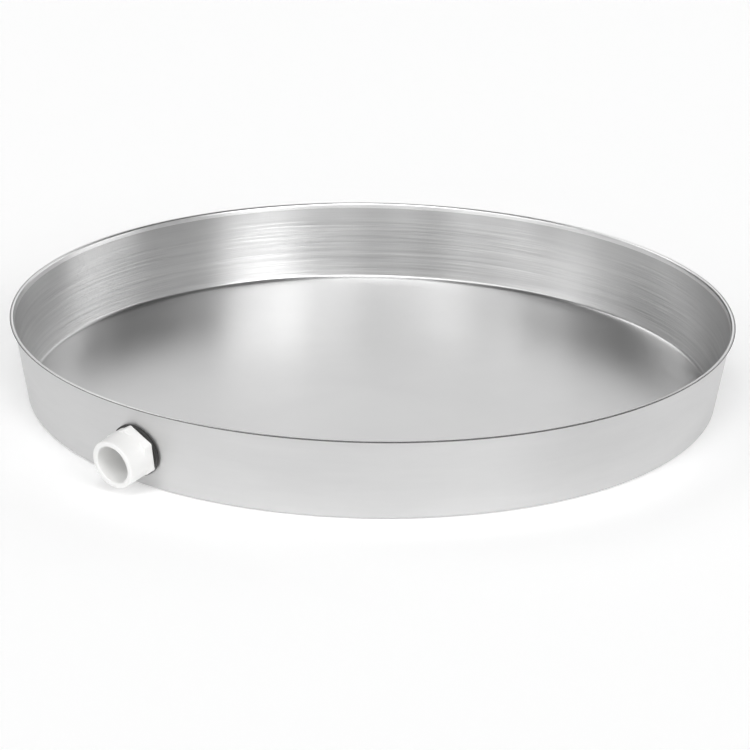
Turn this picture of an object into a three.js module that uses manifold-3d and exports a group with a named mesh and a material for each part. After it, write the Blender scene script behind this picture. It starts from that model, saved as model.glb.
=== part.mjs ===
// Round drain pan that stands under a storage water heater. The pan is one piece of formed aluminium
// sheet with a flared lip. A moulded plastic drain adapter passes through a hole in its wall, with a
// rubber gasket outside, and a locknut on the adapter's thread inside clamps the three together.
// Millimetres. Origin at the centre of the pan's underside, +Z up, the drain outlet towards -Y.
import * as THREE from "three";
import { mergeVertices } from "three/addons/utils/BufferGeometryUtils.js";
import Module from "manifold-3d";

// Pan
const RIM_DIAMETER = 600;
const PAN_HEIGHT = 68.4;
const SHEET = 0.8;
const WALL_FOOT_RADIUS = 285.9; // outer face of the wall, carried down to the underside
const WALL_TAPER = THREE.MathUtils.degToRad(9.5);
const CORNER_RADIUS = 3.4; // inside, between floor and wall
const LIP_BEND_RADIUS = 2.4; // under the lip
const PAN_SEGMENTS = 96;

// Drain hole
const HOLE_HEIGHT = 31.2; // centre of the hole on the wall's outer face
const HOLE_RADIUS = 17.2;

// Distances along the outlet's axis are from the wall's outer face, positive outwards.
// Adapter
const MOUTH_AT = 28.5;
const HUB_RADIUS = 19.8;
const HUB_EDGE = 1.2;
const SOCKET_RADIUS = 15.25;
const SOCKET_DEPTH = 25;
const SOCKET_CHAMFER = 0.8;
const DRAIN_RADIUS = 12.2; // waterway through the threaded spigot
const COLLAR_BACK_AT = 2.8;
const COLLAR_THICKNESS = 8;
const COLLAR_ACROSS_FLATS = 39;
const COLLAR_CORNER_RADIUS = 22.2;
const SPIGOT_END_AT = -13.3;
const SPIGOT_CHAMFER = 1.2;

// Thread: 1 in. pipe size, 11.5 turns per inch, right-handed
const THREAD_PITCH = 25.4 / 11.5;
const THREAD_CREST_RADIUS = 16.6;
const THREAD_DEPTH = 1.4;
const THREAD_CREST_FLAT = THREAD_PITCH / 8;
const THREAD_HALF_ANGLE = THREE.MathUtils.degToRad(30);
const THREAD_OVERLAP = 0.2; // how far the ridge sinks into its core
const THREAD_STEPS = 24; // per turn

// Gasket and locknut
const CLEARANCE = 0.3; // between neighbouring pieces
const GASKET_RADIUS = 21.4;
const GASKET_BORE_RADIUS = 17;
const NUT_FACE_AT = -2.3;
const NUT_THICKNESS = 8;
const NUT_ACROSS_FLATS = 42;
const NUT_CORNER_RADIUS = 23.7;
const NUT_CORNER_CHAMFER = 1;
const FITTING_SEGMENTS = 48;

const wasm = await Module();
wasm.setup();

// A closed geometry as a solid that can be joined and cut.
function solid(geometry) {
  const bare = geometry.clone();
  bare.deleteAttribute("normal");
  bare.deleteAttribute("uv");
  const merged = mergeVertices(bare);
  const corners = [];
  const index = merged.index.array;
  for (let i = 0; i < index.length; i += 3) {
    const [a, b, c] = index.subarray(i, i + 3);
    if (a !== b && b !== c && c !== a) corners.push(a, b, c);
  }
  return new wasm.Manifold(new wasm.Mesh({
    numProp: 3,
    vertProperties: new Float32Array(merged.attributes.position.array),
    triVerts: new Uint32Array(corners),
  }));
}

function geometryOf(manifold) {
  const { vertProperties, triVerts } = manifold.getMesh();
  const geometry = new THREE.BufferGeometry();
  geometry.setAttribute("position", new THREE.BufferAttribute(vertProperties, 3));
  geometry.setIndex(new THREE.BufferAttribute(triVerts, 1));
  return geometry;
}

// A solid of revolution about Z. The outline is [radius, height] pairs, upwards on its outside.
function turned(outline, segments) {
  const points = outline.map(([radius, height]) => new THREE.Vector2(radius, height));
  return new THREE.LatheGeometry(points, segments).rotateX(Math.PI / 2);
}

// Points of an arc in the outline's plane, angles in radians from the radial direction.
function arc(centre, radius, from, to, steps) {
  return Array.from({ length: steps + 1 }, (_, i) => {
    const angle = from + ((to - from) * i) / steps;
    return [centre[0] + radius * Math.cos(angle), centre[1] + radius * Math.sin(angle)];
  });
}

function disc(radius, low, high) {
  return turned([[0, low], [radius, low], [radius, high], [0, high]], FITTING_SEGMENTS);
}

// A hexagonal prism about Z with a corner along +Y.
function hexPrism(acrossFlats, low, high) {
  const radius = acrossFlats / 2 / Math.cos(Math.PI / 6);
  const prism = new THREE.CylinderGeometry(radius, radius, high - low, 6);
  return prism.rotateX(Math.PI / 2).translate(0, 0, (low + high) / 2);
}

// Radius of the wall's outer face at a height.
function wallRadius(height) {
  return WALL_FOOT_RADIUS + height * Math.tan(WALL_TAPER);
}

// The sheet's outer face from the centre of the floor to the lip, then back down its inner face.
function panOutline() {
  const half = Math.PI / 2;
  const cornerOuter = CORNER_RADIUS + SHEET;
  const cornerHeight = cornerOuter;
  const cornerAt = wallRadius(cornerHeight) - cornerOuter / Math.cos(WALL_TAPER);
  const corner = [cornerAt, cornerHeight];
  const bendOuter = LIP_BEND_RADIUS + SHEET;
  const bendHeight = PAN_HEIGHT - bendOuter;
  const bend = [wallRadius(bendHeight) + LIP_BEND_RADIUS / Math.cos(WALL_TAPER), bendHeight];
  const rim = RIM_DIAMETER / 2;
  return [
    [0, 0],
    ...arc(corner, cornerOuter, -half, -WALL_TAPER, 4),
    ...arc(bend, LIP_BEND_RADIUS, Math.PI - WALL_TAPER, half, 3),
    [rim, PAN_HEIGHT - SHEET],
    [rim, PAN_HEIGHT],
    ...arc(bend, bendOuter, half, Math.PI - WALL_TAPER, 3),
    ...arc(corner, CORNER_RADIUS, -WALL_TAPER, -half, 4),
    [0, SHEET],
  ];
}

// The helical ridge of the thread, grown by a clearance on every side to cut a nut's groove.
// The helix rises one pitch along +Z for each turn from +X towards +Y.
function threadRidge(low, high, grow) {
  const crest = THREAD_CREST_RADIUS + grow;
  const root = THREAD_CREST_RADIUS - THREAD_DEPTH - THREAD_OVERLAP;
  const halfWidth = (radius) =>
    THREAD_CREST_FLAT / 2 + (THREAD_CREST_RADIUS - radius) * Math.tan(THREAD_HALF_ANGLE) +
    grow / Math.cos(THREAD_HALF_ANGLE);
  const section = [
    [root, -halfWidth(root)],
    [crest, -halfWidth(crest)],
    [crest, halfWidth(crest)],
    [root, halfWidth(root)],
  ];
  const firstStep = Math.ceil((low / THREAD_PITCH) * THREAD_STEPS);
  const lastStep = Math.floor((high / THREAD_PITCH) * THREAD_STEPS);
  const positions = [];
  const index = [];
  for (let step = firstStep; step <= lastStep; step++) {
    const angle = (step / THREAD_STEPS) * 2 * Math.PI;
    const height = (step / THREAD_STEPS) * THREAD_PITCH;
    for (const [radius, offset] of section) {
      positions.push(radius * Math.cos(angle), radius * Math.sin(angle), height + offset);
    }
    if (step === lastStep) break;
    const near = (step - firstStep) * 4;
    for (let side = 0; side < 4; side++) {
      const a = near + side;
      const b = near + ((side + 1) % 4);
      index.push(a, a + 4, b, b, a + 4, b + 4);
    }
  }
  const last = (lastStep - firstStep) * 4;
  index.push(0, 1, 2, 0, 2, 3, last, last + 2, last + 1, last, last + 3, last + 2);
  const geometry = new THREE.BufferGeometry();
  geometry.setAttribute("position", new THREE.Float32BufferAttribute(positions, 3));
  geometry.setIndex(index);
  return geometry;
}

// The outlet's axis is square to the sloping wall, so it points outwards and slightly down.
const outlet = new THREE.Group();
outlet.position.set(0, -wallRadius(HOLE_HEIGHT), HOLE_HEIGHT);
outlet.rotation.x = Math.PI / 2 + WALL_TAPER;
outlet.updateMatrixWorld();

function pan() {
  const hole = disc(HOLE_RADIUS, -10, 10).applyMatrix4(outlet.matrixWorld);
  return geometryOf(solid(turned(panOutline(), PAN_SEGMENTS)).subtract(solid(hole)));
}

function drainAdapter() {
  const core = THREAD_CREST_RADIUS - THREAD_DEPTH;
  const collarFront = COLLAR_BACK_AT + COLLAR_THICKNESS;
  const barrel = turned([
    [0, SPIGOT_END_AT],
    [core, SPIGOT_END_AT],
    [core, COLLAR_BACK_AT + 1],
    [HUB_RADIUS, COLLAR_BACK_AT + 1],
    ...arc([HUB_RADIUS - HUB_EDGE, MOUTH_AT - HUB_EDGE], HUB_EDGE, 0, Math.PI / 2, 3),
    [0, MOUTH_AT],
  ], FITTING_SEGMENTS);
  const waterway = turned([
    [0, SPIGOT_END_AT - 1],
    [DRAIN_RADIUS, SPIGOT_END_AT - 1],
    [DRAIN_RADIUS, MOUTH_AT - SOCKET_DEPTH],
    [SOCKET_RADIUS, MOUTH_AT - SOCKET_DEPTH],
    [SOCKET_RADIUS, MOUTH_AT - SOCKET_CHAMFER],
    [SOCKET_RADIUS + SOCKET_CHAMFER, MOUTH_AT],
    [SOCKET_RADIUS + SOCKET_CHAMFER, MOUTH_AT + 1],
    [0, MOUTH_AT + 1],
  ], FITTING_SEGMENTS);
  const collar = solid(hexPrism(COLLAR_ACROSS_FLATS, COLLAR_BACK_AT, collarFront))
    .intersect(solid(disc(COLLAR_CORNER_RADIUS, COLLAR_BACK_AT - 1, collarFront + 1)));
  const threadSpace = turned([
    [0, SPIGOT_END_AT],
    [THREAD_CREST_RADIUS - SPIGOT_CHAMFER, SPIGOT_END_AT],
    [THREAD_CREST_RADIUS + 1, SPIGOT_END_AT + SPIGOT_CHAMFER + 1],
    [THREAD_CREST_RADIUS + 1, COLLAR_BACK_AT + 1],
    [0, COLLAR_BACK_AT + 1],
  ], FITTING_SEGMENTS);
  const ridge = solid(threadRidge(SPIGOT_END_AT - THREAD_PITCH, COLLAR_BACK_AT - THREAD_PITCH / 2, 0))
    .intersect(solid(threadSpace));
  return geometryOf(solid(barrel).add(collar).add(ridge).subtract(solid(waterway)));
}

function gasket() {
  const ring = solid(disc(GASKET_RADIUS, -5, COLLAR_BACK_AT - CLEARANCE))
    .subtract(solid(disc(GASKET_BORE_RADIUS, -6, COLLAR_BACK_AT)));
  const wallOutline = [
    [0, 0],
    [wallRadius(0) + CLEARANCE, 0],
    [wallRadius(PAN_HEIGHT) + CLEARANCE, PAN_HEIGHT],
    [0, PAN_HEIGHT],
  ];
  const wall = turned(wallOutline, PAN_SEGMENTS).applyMatrix4(outlet.matrixWorld.clone().invert());
  return geometryOf(ring.subtract(solid(wall)));
}

function locknut() {
  const low = NUT_FACE_AT - NUT_THICKNESS;
  const blank = turned([
    [0, low],
    [NUT_CORNER_RADIUS - NUT_CORNER_CHAMFER * 2, low],
    [NUT_CORNER_RADIUS, low + NUT_CORNER_CHAMFER],
    [NUT_CORNER_RADIUS, NUT_FACE_AT],
    [0, NUT_FACE_AT],
  ], FITTING_SEGMENTS);
  const bore = disc(THREAD_CREST_RADIUS - THREAD_DEPTH + CLEARANCE * 1.5, low - 1, NUT_FACE_AT + 1);
  const groove = threadRidge(low - THREAD_PITCH, NUT_FACE_AT + THREAD_PITCH, CLEARANCE);
  const hex = hexPrism(NUT_ACROSS_FLATS, low - 1, NUT_FACE_AT + 1);
  return geometryOf(solid(blank).intersect(solid(hex)).subtract(solid(bore).add(solid(groove))));
}

function piece(name, geometry, color, roughness, metalness) {
  const material = new THREE.MeshStandardMaterial({ color, roughness, metalness });
  const mesh = new THREE.Mesh(geometry, material);
  mesh.name = name;
  return mesh;
}

outlet.add(
  piece("drain_adapter", drainAdapter(), "#f2f2ee", 0.35, 0),
  piece("gasket", gasket(), "#1d1d1d", 0.5, 0),
  piece("locknut", locknut(), "#f0f0ec", 0.4, 0),
);

const drainPan = new THREE.Group();
drainPan.add(piece("pan", pan(), "#c9cacc", 0.38, 1), outlet);

export default drainPan;
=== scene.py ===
import math
import bpy
from mathutils import Euler, Matrix, Vector


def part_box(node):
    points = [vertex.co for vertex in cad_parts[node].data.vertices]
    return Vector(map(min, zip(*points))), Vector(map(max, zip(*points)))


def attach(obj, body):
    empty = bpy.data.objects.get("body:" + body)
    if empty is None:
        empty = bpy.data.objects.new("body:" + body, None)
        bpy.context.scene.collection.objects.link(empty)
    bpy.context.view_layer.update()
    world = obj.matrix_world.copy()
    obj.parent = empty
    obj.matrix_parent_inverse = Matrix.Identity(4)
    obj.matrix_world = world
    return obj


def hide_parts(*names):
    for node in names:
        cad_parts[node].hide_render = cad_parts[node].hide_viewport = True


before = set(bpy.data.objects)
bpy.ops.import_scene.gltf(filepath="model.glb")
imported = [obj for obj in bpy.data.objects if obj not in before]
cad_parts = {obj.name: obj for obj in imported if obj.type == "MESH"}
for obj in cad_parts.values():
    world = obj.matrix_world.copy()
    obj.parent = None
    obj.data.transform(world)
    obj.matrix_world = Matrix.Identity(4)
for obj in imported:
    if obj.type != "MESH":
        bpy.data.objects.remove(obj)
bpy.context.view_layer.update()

# ---------------------------------------------------------------------------------------------
# Pan. One disc of 0.8 mm aluminium sheet, drawn down over a former: flat floor, small corner, a
# wall that slopes outwards, and a lip turned out at the top with its edge left raw. The drawing
# leaves fine rings round the inside of the wall. The drain hole is punched square to the wall.

pan_top_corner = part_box("pan")[1]
RIM_RADIUS = pan_top_corner.x
PAN_HEIGHT = pan_top_corner.z
SHEET = 0.0008
WALL_TAPER = math.radians(9.5)
WALL_FOOT_RADIUS = 0.2859  # outer face of the wall, carried down to the underside
CORNER_RADIUS = 0.0042  # outer face
LIP_BEND_RADIUS = 0.0012  # outer face, under the lip
LIP_DROOP = math.radians(8)  # below level, because the lip is turned out a little too far
PAINTED_HIGHLIGHT_DEPTH = 0.0045  # how far down the inside the lip's painted highlight band reaches
EDGE_ROUNDING = 0.0003
HOLE_HEIGHT = 0.0312  # centre of the hole on the wall's outer face
HOLE_RADIUS = 0.0172
PUNCH_LENGTH = 0.02

PAN_SIDES = 512
FLOOR_RINGS = 14
WALL_RINGS = 8
BEND_RINGS = 10
PUNCH_SIDES = 96

METAL_DULL = (0.61, 0.61, 0.612)
METAL_BRIGHT = (0.72, 0.72, 0.718)
# Painted highlight: the lip's top and the top of the inside get near-white metal, for the light that the
# turned-out lip catches.
PAINTED_HIGHLIGHT_DULL = (0.9, 0.9, 0.9)
PAINTED_HIGHLIGHT_BRIGHT = (0.96, 0.96, 0.958)
# The raw edge is painted much darker than the faces: partly its own torn surface, partly painted shade for
# the dark line under the lip.
PAINTED_SHADE_EDGE_DULL = (0.13, 0.13, 0.13)
PAINTED_SHADE_EDGE_BRIGHT = (0.24, 0.24, 0.24)


def wall_radius(height):
    """Radius of the wall's outer face at a height."""
    return WALL_FOOT_RADIUS + height * math.tan(WALL_TAPER)


def arc(centre, radius, start, end, steps):
    """Points of an arc in the profile's plane, as (radius, height) pairs."""
    angles = [start + (end - start) * i / steps for i in range(steps + 1)]
    return [(centre[0] + radius * math.cos(a), centre[1] + radius * math.sin(a)) for a in angles]


def pan_profile():
    """The outer face of the sheet from the floor's first ring to the lip's edge."""
    quarter_turn = math.pi / 2
    corner = (wall_radius(CORNER_RADIUS) - CORNER_RADIUS / math.cos(WALL_TAPER), CORNER_RADIUS)
    bend_height = PAN_HEIGHT - SHEET - LIP_BEND_RADIUS
    bend = (wall_radius(bend_height) + LIP_BEND_RADIUS / math.cos(WALL_TAPER), bend_height)
    floor = [(corner[0] * (i + 1) / FLOOR_RINGS, 0.0) for i in range(FLOOR_RINGS - 1)]
    turn_up = arc(corner, CORNER_RADIUS, -quarter_turn, -WALL_TAPER, BEND_RINGS)
    turn_out = arc(bend, LIP_BEND_RADIUS, math.pi - WALL_TAPER, quarter_turn - LIP_DROOP, BEND_RINGS)

    foot, head = turn_up[-1], turn_out[0]
    fractions = [i / WALL_RINGS for i in range(1, WALL_RINGS)]
    fractions.append((PAN_HEIGHT - PAINTED_HIGHLIGHT_DEPTH - foot[1]) / (head[1] - foot[1]))
    wall = [(foot[0] + (head[0] - foot[0]) * f, foot[1] + (head[1] - foot[1]) * f) for f in fractions]

    edge_radius = RIM_RADIUS - SHEET * math.sin(LIP_DROOP)
    edge_height = turn_out[-1][1] - (edge_radius - turn_out[-1][0]) * math.tan(LIP_DROOP)
    return floor + turn_up + wall + turn_out + [(edge_radius, edge_height)]


def select_only(piece):
    """Selects one piece, and makes it the active one."""
    bpy.ops.object.select_all(action="DESELECT")
    piece.select_set(True)
    bpy.context.view_layer.objects.active = piece


def add_modifier(piece, kind, **settings):
    """Adds a modifier with its settings and applies it."""
    select_only(piece)
    modifier = piece.modifiers.new(kind.lower(), kind)
    for name, value in settings.items():
        setattr(modifier, name, value)
    bpy.ops.object.modifier_apply(modifier=modifier.name)


def round_edges(piece, width, segments, sharper_than):
    """Rounds the edges of a piece that turn by more than so many degrees."""
    limit = math.radians(sharper_than)
    add_modifier(piece, "BEVEL", width=width, segments=segments, limit_method="ANGLE", angle_limit=limit)


def combine(piece, tool, operation):
    """Joins a second solid to a piece, or cuts the piece with it, and removes the second."""
    add_modifier(piece, "BOOLEAN", operation=operation, object=tool, solver="EXACT")
    bpy.data.objects.remove(tool)


def shade_smooth(piece, sharper_than):
    """Shades a piece smooth, but keeps the edges that turn by more than so many degrees."""
    select_only(piece)
    bpy.ops.object.shade_smooth_by_angle(angle=math.radians(sharper_than))


def name_new_piece(name):
    """Names the primitive that was just added."""
    piece = bpy.context.active_object
    piece.name = name
    piece.data.name = name
    return piece


def extrude_loop(scale, rise):
    """Extrudes the selected loop of edges, then scales it about the Z axis and raises it."""
    bpy.ops.mesh.extrude_edges_move()
    bpy.ops.transform.resize(value=(scale, scale, 1), center_override=(0, 0, 0))
    bpy.ops.transform.translate(value=(0, 0, rise))


# The outlet's own frame: Z along its axis, from the wall's outer face outwards and slightly down.
outlet_frame = (
    Matrix.Translation((0, -wall_radius(HOLE_HEIGHT), HOLE_HEIGHT))
    @ Matrix.Rotation(math.pi / 2 + WALL_TAPER, 4, "X")
)

profile = pan_profile()
bpy.ops.object.select_all(action="DESELECT")
bpy.ops.mesh.primitive_circle_add(vertices=PAN_SIDES, radius=profile[0][0], fill_type="TRIFAN")
pan = name_new_piece("drain_pan")
bpy.ops.object.mode_set(mode="EDIT")
bpy.ops.mesh.select_all(action="DESELECT")
bpy.ops.mesh.select_non_manifold()
for (radius, height), (next_radius, next_height) in zip(profile, profile[1:]):
    extrude_loop(next_radius / radius, next_height - height)
bpy.ops.object.mode_set(mode="OBJECT")
add_modifier(pan, "SOLIDIFY", thickness=SHEET, offset=1, use_even_offset=True)
round_edges(pan, EDGE_ROUNDING, segments=2, sharper_than=60)

bpy.ops.mesh.primitive_cylinder_add(vertices=PUNCH_SIDES, radius=HOLE_RADIUS, depth=PUNCH_LENGTH)
punch = name_new_piece("punch")
punch.data.transform(outlet_frame)
combine(pan, punch, "DIFFERENCE")
shade_smooth(pan, sharper_than=35)


class Wire:
    """A socket's value in a material. Python's operators on it add Math nodes."""

    def __init__(self, finish, socket):
        self.finish = finish
        self.socket = socket

    def math(self, operation, first, second):
        return self.finish.node("ShaderNodeMath", {"operation": operation}, {0: first, 1: second})

    def out(self, name):
        """Another output of the same node."""
        return Wire(self.finish, self.socket.node.outputs[name])

    def __add__(self, other):
        return self.math("ADD", self, other)

    __radd__ = __add__

    def __sub__(self, other):
        return self.math("SUBTRACT", self, other)

    def __rsub__(self, other):
        return self.math("SUBTRACT", other, self)

    def __mul__(self, other):
        return self.math("MULTIPLY", self, other)

    __rmul__ = __mul__


class Finish:
    """A material being built out of nodes."""

    def __init__(self, name):
        self.material = bpy.data.materials.new(name)
        self.material.use_nodes = True
        self.material.node_tree.nodes.clear()
        self.place = self.node("ShaderNodeTexCoord", {}, {}).out("Object")

    def node(self, kind, settings, sockets):
        """Adds a node: its settings first, then the values or links of its sockets."""
        added = self.material.node_tree.nodes.new(kind)
        for name, value in settings.items():
            setattr(added, name, value)
        for name, value in sockets.items():
            if isinstance(name, int):
                socket = added.inputs[name]
            else:
                socket = next(s for s in added.inputs if s.enabled and name in (s.identifier, s.name))
            if isinstance(value, Wire):
                self.material.node_tree.links.new(value.socket, socket)
            else:
                socket.default_value = value
        return Wire(self, next(s for s in added.outputs if s.enabled)) if added.outputs else None

    def noise(self, stretch, detail=2.0, roughness=0.5):
        """Smooth noise, with its own number of features per metre along X, Y and Z, from 0 to 1."""
        stretched = self.node("ShaderNodeVectorMath", {"operation": "MULTIPLY"}, {0: self.place, 1: stretch})
        sockets = {"Vector": stretched, "Scale": 1.0, "Detail": detail, "Roughness": roughness}
        return self.node("ShaderNodeTexNoise", {}, sockets)

    def blend(self, factor, low, high):
        """One colour fading into another."""
        sockets = {"Factor_Float": factor, "A_Color": (*low, 1), "B_Color": (*high, 1)}
        return self.node("ShaderNodeMix", {"data_type": "RGBA"}, sockets)

    def height(self):
        """How high a point lies, in metres."""
        return self.node("ShaderNodeSeparateXYZ", {}, {"Vector": self.place}).out("Z")

    def ramp(self, value, start, end):
        """A smooth rise from 0 at start to 1 at end."""
        sockets = {"Value": value, "From Min": start, "From Max": end}
        return self.node("ShaderNodeMapRange", {"interpolation_type": "SMOOTHSTEP"}, sockets)

    def bump(self, relief, depth):
        """A normal tilted by a relief of 0 to 1 that is so many metres deep."""
        return self.node("ShaderNodeBump", {}, {"Height": relief, "Distance": depth})

    def surface(self, **sockets):
        """Closes the material with one Principled shader."""
        named = {name.replace("_", " "): value for name, value in sockets.items()}
        shader = self.node("ShaderNodeBsdfPrincipled", {}, named)
        self.node("ShaderNodeOutputMaterial", {}, {"Surface": shader})
        return self.material


ALONG_THE_RINGS = 0.25  # a quarter turn, so that highlights spread across the rings


def drawn_wall(name):
    """Satin aluminium with the rings that drawing over a former leaves round the inside of a wall."""
    finish = Finish(name)
    # The rings are fainter near the lip.
    worked = 1 - finish.ramp(finish.height(), PAN_HEIGHT * 0.6, PAN_HEIGHT * 0.95) * 0.75
    bands = finish.noise((3, 3, 150), detail=1)
    rings = finish.noise((8, 8, 380), detail=2, roughness=0.6)
    hairs = finish.noise((30, 30, 1200), detail=2)
    relief = (bands * 0.35 + rings * 0.55 + hairs * 0.1) * worked
    tone = (rings - 0.5) * worked * 2.2 + hairs * 0.3 + 0.35
    return finish.surface(
        Base_Color=finish.blend(tone, METAL_DULL, METAL_BRIGHT),
        Metallic=1.0,
        Roughness=rings * 0.08 + hairs * 0.04 + 0.25,
        Normal=finish.bump(relief, 0.00055),
        Anisotropic=0.6,
        Anisotropic_Rotation=ALONG_THE_RINGS,
    )


def rolled_sheet(name, roughness, brushing, dull, bright):
    """Satin aluminium as the mill rolls it, with faint smudges and the odd rubbed patch."""
    finish = Finish(name)
    smudges = finish.noise((9, 9, 30), detail=3, roughness=0.5)
    marks = finish.noise((25, 25, 200), detail=2)
    return finish.surface(
        Base_Color=finish.blend(smudges * 0.7 + marks * 0.3, dull, bright),
        Metallic=1.0,
        Roughness=smudges * 0.02 + marks * 0.01 + roughness,
        Anisotropic=brushing,
        Anisotropic_Rotation=ALONG_THE_RINGS,
    )


def sheared_edge(name):
    """The raw edge that trimming leaves on the sheet: torn a little rough, and painted much darker than its
    faces, partly as painted shade for the dark line under the lip.
    """
    finish = Finish(name)
    tears = finish.noise((300, 300, 900), detail=2)
    return finish.surface(
        Base_Color=finish.blend(tears, PAINTED_SHADE_EDGE_DULL, PAINTED_SHADE_EDGE_BRIGHT),
        Metallic=1.0,
        Roughness=tears * 0.2 + 0.4,
        Normal=finish.bump(tears, 0.00002),
    )


# The order of the pan's finishes.
OUTSIDE, INSIDE_WALL, FLOOR, RAW_EDGE_AND_PAINTED_SHADE, LIP_WITH_PAINTED_HIGHLIGHT = range(5)
pan.data.materials.append(rolled_sheet("aluminium_outside", 0.385, 0.75, METAL_DULL, METAL_BRIGHT))
pan.data.materials.append(drawn_wall("aluminium_inside_wall"))
pan.data.materials.append(rolled_sheet("aluminium_floor", 0.27, 0.0, METAL_DULL, METAL_BRIGHT))
pan.data.materials.append(sheared_edge("aluminium_raw_edge_painted_shade"))
# The lip's finish is a painted highlight: near-white metal on its top and the top of the inside.
pan.data.materials.append(rolled_sheet("aluminium_lip_painted_highlight", 0.3, 0.5, PAINTED_HIGHLIGHT_DULL, PAINTED_HIGHLIGHT_BRIGHT))
for face in pan.data.polygons:
    x, y, z = face.center
    leans_out = face.normal.dot(Vector((x, y, 0)).normalized())
    # The raw edge and its rounding take the dark edge finish, which is partly painted shade.
    if math.hypot(x, y) > RIM_RADIUS - EDGE_ROUNDING:
        face.material_index = RAW_EDGE_AND_PAINTED_SHADE
    # Painted highlight on the lip's top and the top band of the inside.
    elif z > PAN_HEIGHT - PAINTED_HIGHLIGHT_DEPTH and (face.normal.z > 0.5 or leans_out < 0):
        face.material_index = LIP_WITH_PAINTED_HIGHLIGHT
    elif z > SHEET / 2 and face.normal.z > 0.9 and z < PAN_HEIGHT / 2:
        face.material_index = FLOOR
    elif leans_out < -0.2:
        face.material_index = INSIDE_WALL
    else:
        face.material_index = OUTSIDE
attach(pan, "pan")
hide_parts("pan")

# ---------------------------------------------------------------------------------------------
# Drain adapter. One white PVC moulding: a hub with a socket for the drain line, a hexagonal
# collar with turned-down corners to hold a wrench, and a spigot with a 1 in. pipe thread that
# passes through the wall. Lengths are along the outlet's axis from the wall's outer face.

MOUTH_AT = 0.0285
HUB_RADIUS = 0.0198
HUB_ROOT_RADIUS = 0.02005  # the hub's draft widens it towards the collar
HUB_EDGE = 0.0012
HUB_EDGE_SEGMENTS = 5
SOCKET_RADIUS = 0.01525
SOCKET_DEPTH = 0.025
SOCKET_CHAMFER = 0.0008
WATERWAY_RADIUS = 0.0122
COLLAR_BACK_AT = 0.0028
COLLAR_THICKNESS = 0.008
COLLAR_ACROSS_FLATS = 0.039
COLLAR_CORNER_RADIUS = 0.0222
COLLAR_EDGE = 0.0004
SPIGOT_END_AT = -0.0133
LEAD_IN_BLANK_MARGIN = 0.002  # the lead-in is cut with a blank this much outside the thread
LEAD_IN_BLANK_CHAMFER = 0.0032
THREAD_PITCH = 0.0254 / 11.5
THREAD_CREST_RADIUS = 0.0166
THREAD_DEPTH = 0.0014
THREAD_FLANK_SLOPE = math.tan(math.radians(30))
OVERLAP = 0.001  # how far one solid runs into or past another, so that no two faces coincide
FIRST_POINT_SIZE = 0.001  # a plane that is merged into the first point of the thread's outline
SAME_POINT = 1e-6
WELD = 1e-5  # merges the corners that the cuts leave almost in one place

ROUND_SIDES = 128
THREAD_SIDES = 72

PVC_DULL = (0.845, 0.843, 0.834)
PVC_BRIGHT = (0.87, 0.868, 0.859)


def add_cylinder(name, radius, low, high, sides=ROUND_SIDES):
    """A solid cylinder about the Z axis between two heights."""
    bpy.ops.object.select_all(action="DESELECT")
    bpy.ops.mesh.primitive_cylinder_add(
        vertices=sides, radius=radius, depth=high - low, location=(0, 0, (low + high) / 2)
    )
    bpy.ops.object.transform_apply(location=True)
    return name_new_piece(name)


def add_hexagon(name, across_flats, low, high):
    """A hexagonal prism about the Z axis with a corner towards +Y."""
    return add_cylinder(name, across_flats / 2 / math.cos(math.pi / 6), low, high, sides=6)


def select_level(piece, height):
    """Selects what lies at one height, in edit mode, by its vertices."""
    bpy.ops.object.mode_set(mode="EDIT")
    bpy.ops.mesh.select_mode(type="VERT")
    bpy.ops.mesh.select_all(action="DESELECT")
    bpy.ops.object.mode_set(mode="OBJECT")
    for vertex in piece.data.vertices:
        vertex.select = abs(vertex.co.z - height) < SAME_POINT
    bpy.ops.object.mode_set(mode="EDIT")


def chamfer_level(piece, height, width):
    """Chamfers the edges of a piece that lie at one height."""
    select_level(piece, height)
    bpy.ops.mesh.bevel(offset=width, segments=1)
    bpy.ops.object.mode_set(mode="OBJECT")


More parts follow.
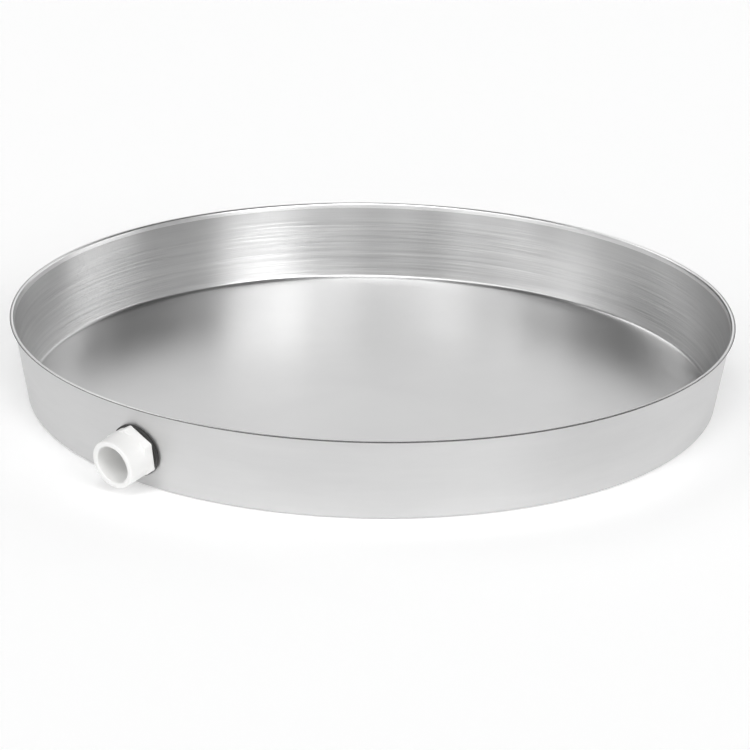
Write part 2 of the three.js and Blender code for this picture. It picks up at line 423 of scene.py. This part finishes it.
def threaded_rod(name, low, high, grow):
    """A rod with a right-hand thread, made larger all round by the clearance of the nut's groove."""
    crest, root = THREAD_CREST_RADIUS + grow, THREAD_CREST_RADIUS - THREAD_DEPTH + grow
    flank = THREAD_DEPTH * THREAD_FLANK_SLOPE
    crest_flat = THREAD_PITCH / 8 + 2 * grow * THREAD_FLANK_SLOPE
    root_flat = THREAD_PITCH - crest_flat - 2 * flank
    first_turn = math.floor(low / THREAD_PITCH) - 1
    turns = math.ceil(high / THREAD_PITCH) + 1 - first_turn
    bottom = first_turn * THREAD_PITCH - crest_flat / 2 - flank

    # One turn of the thread's outline, drawn point by point, is screwed up the rod.
    bpy.ops.object.select_all(action="DESELECT")
    bpy.ops.mesh.primitive_plane_add(size=FIRST_POINT_SIZE, location=(root, 0, bottom))
    bpy.ops.object.transform_apply(location=True)
    rod = name_new_piece(name)
    bpy.ops.object.mode_set(mode="EDIT")
    bpy.ops.mesh.merge(type="CENTER")
    for outwards, up in ((crest - root, flank), (0, crest_flat), (root - crest, flank), (0, root_flat)):
        bpy.ops.mesh.extrude_vertices_move()
        bpy.ops.transform.translate(value=(outwards, 0, up))
    bpy.ops.object.mode_set(mode="OBJECT")
    add_modifier(
        rod,
        "SCREW",
        axis="Z",
        angle=2 * math.pi,
        screw_offset=THREAD_PITCH,
        iterations=turns,
        steps=THREAD_SIDES,
        render_steps=THREAD_SIDES,
    )

    # Its seams are closed, and its ends are cut flat.
    bpy.ops.object.mode_set(mode="EDIT")
    bpy.ops.mesh.select_all(action="SELECT")
    bpy.ops.mesh.remove_doubles(threshold=SAME_POINT)
    bpy.ops.mesh.normals_make_consistent(inside=False)
    for height, side in ((low, -1), (high, 1)):
        bpy.ops.mesh.select_all(action="SELECT")
        bpy.ops.mesh.bisect(
            plane_co=(0, 0, height), plane_no=(0, 0, side), use_fill=True, clear_outer=True
        )
    bpy.ops.object.mode_set(mode="OBJECT")
    return rod


adapter = add_cylinder("drain_adapter_moulding", HUB_ROOT_RADIUS, COLLAR_BACK_AT + OVERLAP, MOUTH_AT)
select_level(adapter, MOUTH_AT)
draft = HUB_RADIUS / HUB_ROOT_RADIUS
bpy.ops.transform.resize(value=(draft, draft, 1), center_override=(0, 0, MOUTH_AT))
bpy.ops.mesh.bevel(offset=HUB_EDGE, segments=HUB_EDGE_SEGMENTS)
bpy.ops.object.mode_set(mode="OBJECT")

collar_front = COLLAR_BACK_AT + COLLAR_THICKNESS
collar = add_hexagon("collar", COLLAR_ACROSS_FLATS, COLLAR_BACK_AT, collar_front)
turned = add_cylinder("turned", COLLAR_CORNER_RADIUS, COLLAR_BACK_AT - OVERLAP, collar_front + OVERLAP)
combine(collar, turned, "INTERSECT")
round_edges(collar, COLLAR_EDGE, segments=3, sharper_than=25)
combine(adapter, collar, "UNION")

spigot = threaded_rod("spigot", SPIGOT_END_AT, COLLAR_BACK_AT + OVERLAP / 2, 0)
lead_in_radius = THREAD_CREST_RADIUS + LEAD_IN_BLANK_MARGIN
lead_in = add_cylinder("lead_in", lead_in_radius, SPIGOT_END_AT, COLLAR_BACK_AT + OVERLAP)
chamfer_level(lead_in, SPIGOT_END_AT, LEAD_IN_BLANK_CHAMFER)
combine(spigot, lead_in, "INTERSECT")
combine(adapter, spigot, "UNION")

waterway = add_cylinder("waterway", WATERWAY_RADIUS, SPIGOT_END_AT - OVERLAP, MOUTH_AT - OVERLAP)
combine(adapter, waterway, "DIFFERENCE")
socket = add_cylinder("socket", SOCKET_RADIUS, MOUTH_AT - SOCKET_DEPTH, MOUTH_AT - SOCKET_CHAMFER)
select_level(socket, MOUTH_AT - SOCKET_CHAMFER)
flare = (SOCKET_RADIUS + 2 * SOCKET_CHAMFER) / SOCKET_RADIUS
bpy.ops.mesh.extrude_region_move()
bpy.ops.transform.resize(value=(flare, flare, 1), center_override=(0, 0, 0))
bpy.ops.transform.translate(value=(0, 0, 2 * SOCKET_CHAMFER))
bpy.ops.object.mode_set(mode="OBJECT")
combine(adapter, socket, "DIFFERENCE")

select_only(adapter)
bpy.ops.object.mode_set(mode="EDIT")
bpy.ops.mesh.select_all(action="SELECT")
bpy.ops.mesh.remove_doubles(threshold=WELD)
bpy.ops.object.mode_set(mode="OBJECT")
shade_smooth(adapter, sharper_than=30)
adapter.data.transform(outlet_frame)


def moulded_plastic(name):
    """White PVC as it comes out of a mould: a soft gloss over a faint orange-peel surface."""
    finish = Finish(name)
    cloud = finish.noise((60, 60, 60), detail=1)
    peel = finish.noise((700, 700, 700), detail=1)
    return finish.surface(
        Base_Color=finish.blend(cloud, PVC_DULL, PVC_BRIGHT),
        Roughness=cloud * 0.08 + peel * 0.05 + 0.28,
        Normal=finish.bump(peel, 0.00001),
        IOR=1.5,
    )


adapter.data.materials.clear()
adapter.data.materials.append(moulded_plastic("white_pvc_moulding"))
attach(adapter, "drain_adapter")
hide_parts("drain_adapter")

# ---------------------------------------------------------------------------------------------
# Gasket. A black rubber ring squeezed between the collar and the wall. It reaches past the
# collar's flats but not its corners, and its back follows the wall's curve.

GASKET_RADIUS = 0.0214
GASKET_BORE_RADIUS = 0.017
GASKET_GAP = 0.0002
GASKET_EDGE = 0.0007
GASKET_BLANK_FROM = -0.004  # behind the wall, before the wall's shape is cut out of it

RUBBER_DULL = (0.012, 0.012, 0.012)
RUBBER_BRIGHT = (0.03, 0.03, 0.029)

gasket = add_cylinder("rubber_gasket", GASKET_RADIUS, GASKET_BLANK_FROM, COLLAR_BACK_AT - GASKET_GAP)
gasket_bore = add_cylinder("gasket_bore", GASKET_BORE_RADIUS, GASKET_BLANK_FROM - OVERLAP, COLLAR_BACK_AT)
combine(gasket, gasket_bore, "DIFFERENCE")
gasket.data.transform(outlet_frame)
bpy.ops.mesh.primitive_cone_add(
    vertices=PAN_SIDES,
    radius1=wall_radius(0) + GASKET_GAP,
    radius2=wall_radius(PAN_HEIGHT) + GASKET_GAP,
    depth=PAN_HEIGHT,
    location=(0, 0, PAN_HEIGHT / 2),
)
wall_blank = name_new_piece("wall_blank")
combine(gasket, wall_blank, "DIFFERENCE")
round_edges(gasket, GASKET_EDGE, segments=4, sharper_than=50)
shade_smooth(gasket, sharper_than=40)


def moulded_rubber(name):
    """Black rubber with a satin skin."""
    finish = Finish(name)
    skin = finish.noise((400, 400, 400), detail=3)
    return finish.surface(
        Base_Color=finish.blend(skin, RUBBER_DULL, RUBBER_BRIGHT),
        Roughness=skin * 0.15 + 0.35,
        Normal=finish.bump(skin, 0.00002),
    )


gasket.data.materials.clear()
gasket.data.materials.append(moulded_rubber("black_rubber_skin"))
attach(gasket, "gasket")
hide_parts("gasket")

# ---------------------------------------------------------------------------------------------
# Locknut. A white PVC hexagon nut on the spigot's thread inside the pan. It pulls the collar and
# the gasket against the wall from behind.

NUT_FACE_AT = -0.0023
NUT_THICKNESS = 0.008
NUT_ACROSS_FLATS = 0.042
NUT_CORNER_RADIUS = 0.0237
NUT_CORNER_CHAMFER = 0.0018
NUT_EDGE = 0.0003
NUT_CLEARANCE = 0.00015

nut_end = NUT_FACE_AT - NUT_THICKNESS
locknut = add_hexagon("pan_locknut", NUT_ACROSS_FLATS, nut_end, NUT_FACE_AT)
chamfered = add_cylinder("chamfered", NUT_CORNER_RADIUS, nut_end, NUT_FACE_AT + OVERLAP)
chamfer_level(chamfered, nut_end, NUT_CORNER_CHAMFER)
combine(locknut, chamfered, "INTERSECT")
round_edges(locknut, NUT_EDGE, segments=2, sharper_than=25)
tap = threaded_rod("tap", nut_end - OVERLAP, NUT_FACE_AT + OVERLAP, NUT_CLEARANCE)
combine(locknut, tap, "DIFFERENCE")
shade_smooth(locknut, sharper_than=30)
locknut.data.transform(outlet_frame)
locknut.data.materials.clear()
locknut.data.materials.append(moulded_plastic("white_pvc_nut"))
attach(locknut, "pan")
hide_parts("locknut")

# ---------------------------------------------------------------------------------------------
# Camera. A long lens a few metres off, above the rim. It looks down into the pan, and has the
# outlet on its left.

CAMERA_AZIMUTH = math.radians(37.98)
CAMERA_ELEVATION = math.radians(19.87)
CAMERA_ROLL = math.radians(1.03)
CAMERA_DISTANCE = 2.633
CAMERA_LENS = 151.4
CAMERA_SENSOR = 36
AIM_RIGHT = math.radians(0.05)  # turns that set the pan a little left of and above the middle
AIM_DOWN = math.radians(0.49)

bpy.ops.object.camera_add()
camera = bpy.context.active_object
camera.data.lens = CAMERA_LENS
camera.data.sensor_width = CAMERA_SENSOR
towards_camera = Vector((0, -math.cos(CAMERA_ELEVATION), math.sin(CAMERA_ELEVATION)))
towards_camera.rotate(Euler((0, 0, CAMERA_AZIMUTH)))
facing = towards_camera.to_track_quat("Z", "Y").to_matrix().to_4x4()
camera.matrix_world = (
    Matrix.Translation(Vector((0, 0, PAN_HEIGHT / 2)) + towards_camera * CAMERA_DISTANCE)
    @ facing
    @ Matrix.Rotation(CAMERA_ROLL, 4, "Z")
    @ Matrix.Rotation(-AIM_RIGHT, 4, "Y")
    @ Matrix.Rotation(-AIM_DOWN, 4, "X")
)
bpy.context.scene.camera = camera

# ---------------------------------------------------------------------------------------------
# Table and light. A white table that glows a little, as one lit from below does, with wide
# softboxes round and over it. Bare metal shows what it reflects, so each has its own strength.

TABLE_SIZE = 60
TABLE_GLOW = 0.25
TABLE_WHITE = (0.85, 0.85, 0.85, 1)
SOFTBOX_WIDTH = math.radians(30)
# Heading in degrees to the right of the camera's side, elevation in degrees, strength.
SOFTBOXES = (
    (0, 6, 0.15), (100, 6, 0.31), (260, 6, 0.16), (320, 6, 0.21), (340, 6, 0.12),
    (20, 24, 0.22), (40, 24, 0.77), (80, 24, 0.11), (120, 24, 0.1), (140, 24, 0.22), (180, 24, 0.21),
    (280, 24, 0.13), (300, 24, 0.32),
    (20, 44, 0.28), (60, 44, 0.13), (220, 44, 0.42), (320, 44, 0.35), (340, 44, 0.31),
    (0, 66, 0.79),
)

bpy.ops.mesh.primitive_plane_add(size=TABLE_SIZE)
ground = name_new_piece("ground")
glowing_white = Finish("lit_table")
ground.data.materials.append(
    glowing_white.surface(
        Base_Color=TABLE_WHITE,
        Roughness=0.9,
        Emission_Color=(1, 1, 1, 1),
        Emission_Strength=TABLE_GLOW,
    )
)

for number, (heading, elevation, strength) in enumerate(SOFTBOXES):
    bpy.ops.object.light_add(type="SUN")
    lamp = bpy.context.active_object
    lamp.name = f"softbox_{number}"
    lamp.data.energy = strength
    lamp.data.angle = SOFTBOX_WIDTH
    lamp.rotation_euler = (math.radians(90 - elevation), 0, CAMERA_AZIMUTH + math.radians(heading))
bpy.context.scene.view_settings.view_transform = "Standard"
